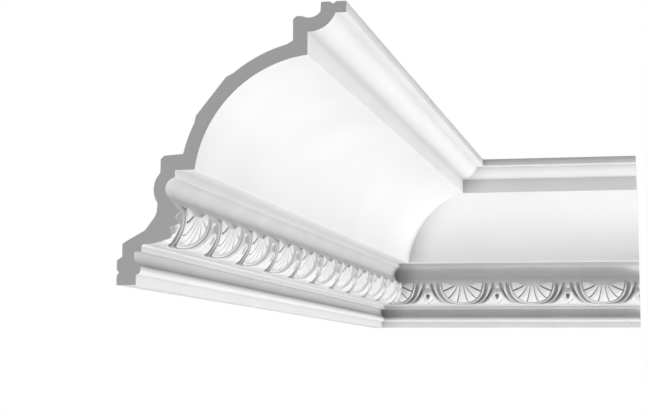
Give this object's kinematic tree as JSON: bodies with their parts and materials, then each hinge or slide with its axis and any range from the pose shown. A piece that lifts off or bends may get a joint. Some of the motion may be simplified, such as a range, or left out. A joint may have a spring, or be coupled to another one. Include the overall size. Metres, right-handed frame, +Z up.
{
  "type": "cornice moulding section",
  "caption": "Inner corner of a white coved cornice: two mitred lengths with a carved shell and dart band, glued between wall and ceiling.",
  "frame": {"origin": "on the long length's wall face, half way along it, in the middle of the flat strip under the glue groove", "axes": "+X out from the side wall into the room and along the short return, +Y along the side wall towards the corner, +Z up to the ceiling"},
  "size_m": [0.485, 1.36, 0.2774],
  "materials": {
    "primed_foam": "matt white primer on a dense grey foam casting"
  },
  "bodies": {
    "root": {"main_length": "primed_foam", "return_length": "primed_foam"}
  },
  "joints": []
}
